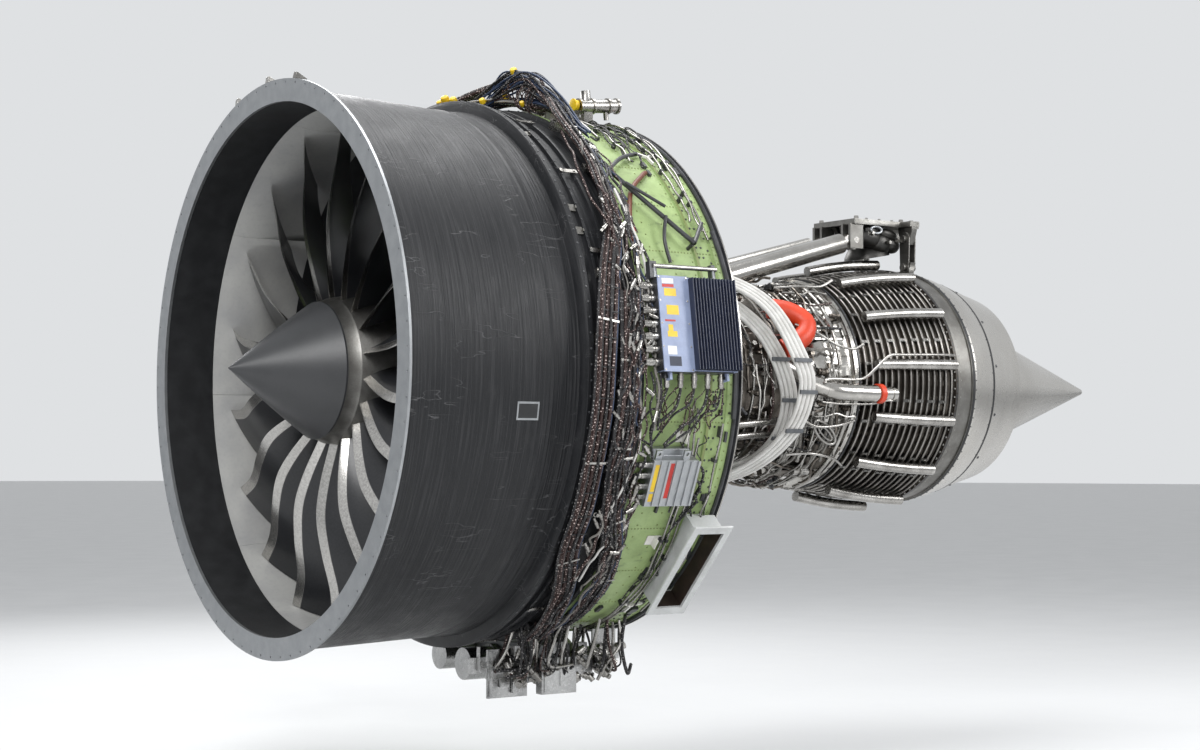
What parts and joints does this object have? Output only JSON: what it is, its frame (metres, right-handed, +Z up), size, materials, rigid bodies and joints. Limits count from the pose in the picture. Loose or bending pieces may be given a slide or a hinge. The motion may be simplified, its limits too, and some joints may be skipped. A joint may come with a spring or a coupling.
{
  "type": "jet engine",
  "caption": "High-bypass turbofan engine with its cowls off: composite fan case, green fan frame, bare core with pipes, and an exhaust plug.",
  "frame": {"origin": "centre of the inlet flange's front face, on the shaft", "axes": "+X aft along the shaft, +Z up when hung from its mounts, -Y the side with the control boxes"},
  "size_m": [6.556, 3.3834, 3.4853],
  "materials": {
    "machined_aluminium": "machined satin",
    "bright_steel": "bright",
    "composite": "woven carbon composite, matte",
    "black_liner": "matte",
    "pale_liner": "satin",
    "vane_metal": "satin",
    "green_primer": "satin primer",
    "frame_metal": "forged, blasted",
    "dark_anodised": "anodised",
    "white_enamel": "gloss",
    "case_metal": "machined",
    "hot_metal": "heat-worn",
    "polished_metal": "polished",
    "sleeve_metal": "rolled sheet, satin",
    "box_paint": "satin",
    "fin_paint": "matte",
    "grey_paint": "satin",
    "cast_aluminium": "cast",
    "white_sleeve": "satin sleeve",
    "clamp_grey": "matte",
    "orange_rubber": "moulded",
    "brown_braid": "braided",
    "spinner_coat": "satin",
    "blade_composite": "carbon composite with metal edge"
  },
  "bodies": {
    "root": {"inlet_flange": "machined_aluminium", "flange_brackets": "bright_steel", "fan_case": "composite", "case_clips": "bright_steel", "forward_liner": "black_liner", "track_liner": "pale_liner", "aft_liner": "black_liner", "outlet_guide_vanes": "vane_metal", "fan_frame_ring": "green_primer", "frame_struts": "frame_metal", "aft_flange": "dark_anodised", "frame_brackets": "white_enamel", "splitter_case": "case_metal", "booster_vanes": "vane_metal", "compressor_case": "case_metal", "compressor_vanes": "vane_metal", "ring_actuator": "bright_steel", "combustor_case": "hot_metal", "combustor_liner": "hot_metal", "fuel_nozzles": "bright_steel", "fuel_manifold": "bright_steel", "turbine_case_front": "hot_metal", "centre_frame": "polished_metal", "turbine_nozzles": "hot_metal", "turbine_case_rear": "hot_metal", "cooling_rings": "bright_steel", "feed_ducts": "bright_steel", "rear_frame": "frame_metal", "exhaust_sleeve": "sleeve_metal", "exhaust_plug": "sleeve_metal", "aft_mount": "frame_metal", "aft_mount_hangers": "frame_metal", "thrust_link_left": "polished_metal", "thrust_link_right": "polished_metal", "front_mount": "frame_metal", "control_box": "box_paint", "heat_sink": "fin_paint", "box_handle": "machined_aluminium", "ribbed_box": "machined_aluminium", "duct_scoop": "grey_paint", "accessory_gearbox": "cast_aluminium", "gearbox_units": "cast_aluminium", "oil_tank": "grey_paint", "white_pipes": "white_sleeve", "pipe_clamps": "clamp_grey", "bleed_duct": "polished_metal", "orange_cap": "orange_rubber", "core_pipes": "bright_steel", "wiring_harness": "brown_braid", "harness_clamps": "bright_steel", "connectors": "bright_steel", "frame_rods": "dark_anodised", "start_valve": "bright_steel", "shaft_bearings": "bright_steel"},
    "low_spool": {"spinner": "spinner_coat", "fan_disk": "frame_metal", "fan_blades": "blade_composite", "low_rotor": "vane_metal"},
    "high_spool": {"high_rotor": "vane_metal"},
    "vane_ring": {"lever_ring": "bright_steel"}
  },
  "joints": [
    {"name": "low_spool_spin", "type": "hinge", "parent": "root", "child": "low_spool", "pos_m": [0.5, 0, 0], "axis": [1, 0, 0], "continuous": true},
    {"name": "high_spool_spin", "type": "hinge", "parent": "root", "child": "high_spool", "pos_m": [2.5, 0, 0], "axis": [1, 0, 0], "continuous": true},
    {"name": "vane_ring_turn", "type": "hinge", "parent": "root", "child": "vane_ring", "pos_m": [2.25, 0, 0], "axis": [1, 0, 0], "range_deg": [-4, 4]}
  ]
}
